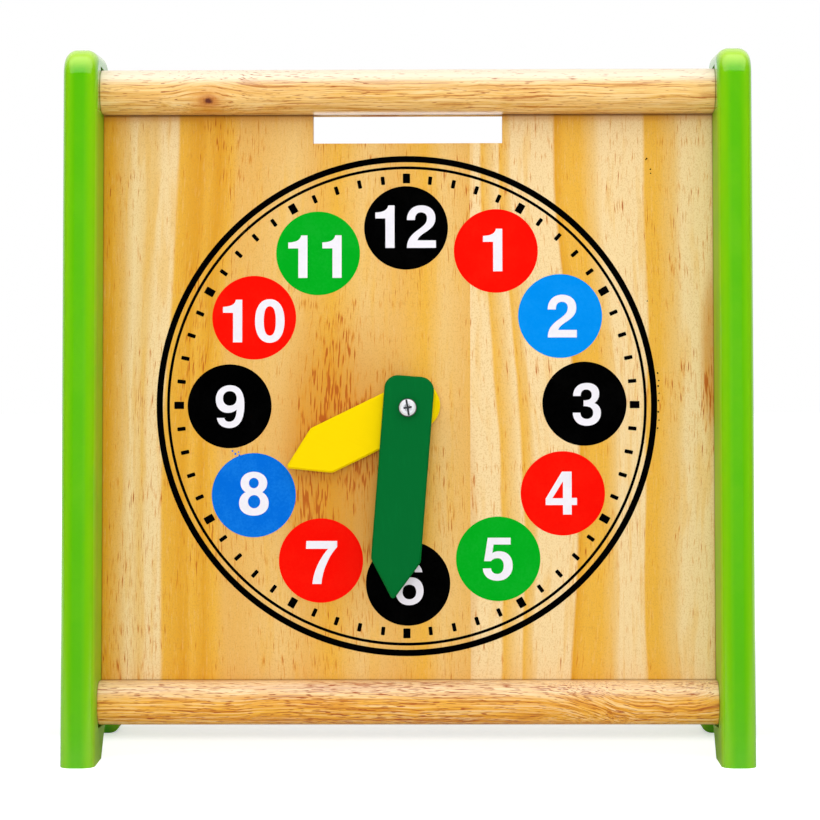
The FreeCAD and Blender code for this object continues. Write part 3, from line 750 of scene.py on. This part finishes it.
# Stray flecks of ink beside the ring and on disc 8, as (right, up, radius)
black_flecks = [(106.0, 108.6, 0.3), (106.4, 109.1, 0.35), (108.0, 104.3, 0.35), (108.1, 102.5, 0.3),
                (106.3, 45.8, 0.3), (110.7, 13.9, 0.4), (111.2, 10.6, 0.35), (110.9, 8.2, 0.45),
                (111.3, 5.0, 0.3), (111.0, 1.8, 0.4), (110.9, -3.2, 0.45), (111.2, -6.9, 0.35),
                (110.6, -10.4, 0.4), (104.2, -16.7, 0.5)]
blue_flecks = [(-76.9, -20.2, 0.4), (-75.6, -21.5, 0.5), (-74.2, -20.7, 0.35), (-73.9, -22.0, 0.4)]
printed("print_flecks_black", [circle(r, fleck_points, x, y) for x, y, r in black_flecks], black_ink)
printed("print_flecks_blue", [circle(r, fleck_points, x, y) for x, y, r in blue_flecks], deep_blue_ink)


white = (1, 1, 1, 1)
floor_grey = (0.8, 0.8, 0.8, 1)
light_on_clock = 0.21


# Pale floor: it glows white to the eye and is plain white further off. Near the clock it glows less just
# behind it, a painted shade that keeps the clock's shadow showing there. Metal and lacquer mirror only the
# part behind the clock
def make_floor_surface():
    made = bpy.data.materials.new("Pale floor")
    made.use_nodes = True
    tree = made.node_tree
    tree.nodes.clear()
    place = put(tree, "ShaderNodeTexCoord").outputs["Object"]
    far = fade(tree, vector_node(tree, "LENGTH", place), 0.25, 0.6)
    depth = split(tree, place)[1]
    behind = fade(tree, depth, 0.008, 0.034)
    paths = put(tree, "ShaderNodeLightPath").outputs
    mirrored = times(tree, paths["Is Glossy Ray"], fade(tree, depth, 0.0, 0.4))
    seen = most(tree, mirrored, most(tree, paths["Is Camera Ray"], paths["Is Transmission Ray"]))
    # Painted shade: the floor glows less behind the clock, so the shadow shows darker there
    near_glow_with_painted_shade = less(tree, 0.78, times(tree, behind, 0.25))
    plain = put(tree, "ShaderNodeBsdfDiffuse", {"Color": floor_grey})
    lift = times(tree, seen, most(tree, near_glow_with_painted_shade, far))
    glow = put(tree, "ShaderNodeEmission", {"Color": white, "Strength": lift})
    both = put(tree, "ShaderNodeAddShader", {0: plain.outputs[0], 1: glow.outputs[0]})
    put(tree, "ShaderNodeOutputMaterial", {"Surface": both.outputs[0]})
    return made


floor_mesh = bpy.data.meshes.new("floor")
floor_mesh.from_pydata([(-4, -4, 0), (4, -4, 0), (4, 4, 0), (-4, 4, 0)], [], [(0, 1, 2, 3)])
floor_mesh.materials.append(make_floor_surface())
floor = bpy.data.objects.new("floor", floor_mesh)
bpy.context.scene.collection.objects.link(floor)


# The world is white to the eye and through the clear plate. Mirrored, it is white only towards the back,
# and as light on the clock it is dim
def make_world():
    world = bpy.data.worlds.new("Studio")
    world.use_nodes = True
    tree = world.node_tree
    tree.nodes.clear()
    paths = put(tree, "ShaderNodeLightPath").outputs
    direct = most(tree, paths["Is Camera Ray"], paths["Is Transmission Ray"])
    seen = most(tree, direct, paths["Is Glossy Ray"])
    way = put(tree, "ShaderNodeTexCoord").outputs["Generated"]
    backdrop = fade(tree, split(tree, way)[1], 0.15, 0.6)
    shown = plus(tree, 0.05, times(tree, most(tree, backdrop, direct), 0.95))
    strength = put(tree, "ShaderNodeMix", {0: seen, 2: light_on_clock, 3: shown}, data_type="FLOAT")
    background = put(tree, "ShaderNodeBackground", {"Color": white, "Strength": strength.outputs[0]})
    put(tree, "ShaderNodeOutputWorld", {"Surface": background.outputs[0]})
    return world


bpy.context.scene.world = make_world()


def softbox(name, place, aim, size, power, mirrored=False):
    """A soft studio lamp that the camera doesn't see: its size is (width, height)."""
    lamp = bpy.data.lights.new(name, "AREA")
    lamp.shape = "RECTANGLE"
    lamp.size, lamp.size_y = size
    lamp.energy = power
    holder = bpy.data.objects.new(name, lamp)
    holder.location = place
    holder.rotation_euler = (Vector(aim) - Vector(place)).to_track_quat("-Z", "Y").to_euler()
    holder.visible_camera = False
    holder.visible_glossy = mirrored
    bpy.context.scene.collection.objects.link(holder)


clock_middle = (0, 0, 0.15)
square_box = (0.9, 0.9)
softbox("softbox_above", (0, -0.45, 1.0), (0, 0, 0.18), (2.4, 1.15), 12.5, mirrored=True)
softbox("softbox_front", (0, -1.7, 0.25), clock_middle, square_box, 12.5)
softbox("softbox_left", (-1.1, -0.35, 0.4), clock_middle, square_box, 1.5)
softbox("softbox_right", (1.1, -0.35, 0.4), clock_middle, square_box, 1.5)
softbox("softbox_behind", (0, 1.5, 0.7), clock_middle, square_box, 5)

# Camera: where the photograph was taken from. Its turns are in degrees to the right, up and anticlockwise,
# and its focal length is in pixels of the picture
camera_place = (0.0146, -1.1686, 0.1937)
camera_turns = (-0.684, -2.053, -0.117)
picture_width = 820
focal_pixels = 2599.3
sensor_width = 36
view = bpy.data.cameras.new("camera")
view.sensor_width = sensor_width
view.lens = focal_pixels * sensor_width / picture_width
camera = bpy.data.objects.new("camera", view)
yaw, pitch, roll = (math.radians(turn) for turn in camera_turns)
ahead = Vector((math.sin(yaw) * math.cos(pitch), math.cos(yaw) * math.cos(pitch), math.sin(pitch)))
right = ahead.cross(Vector((0, 0, 1))).normalized()
up = right.cross(ahead)
rolled_right = right * math.cos(roll) + up * math.sin(roll)
rolled_up = up * math.cos(roll) - right * math.sin(roll)
stand = Matrix((rolled_right, rolled_up, -ahead)).transposed().to_4x4()
stand.translation = camera_place
camera.matrix_world = stand
bpy.context.scene.collection.objects.link(camera)
bpy.context.scene.camera = camera
bpy.context.scene.view_settings.view_transform = "Standard"

bpy.context.view_layer.update()
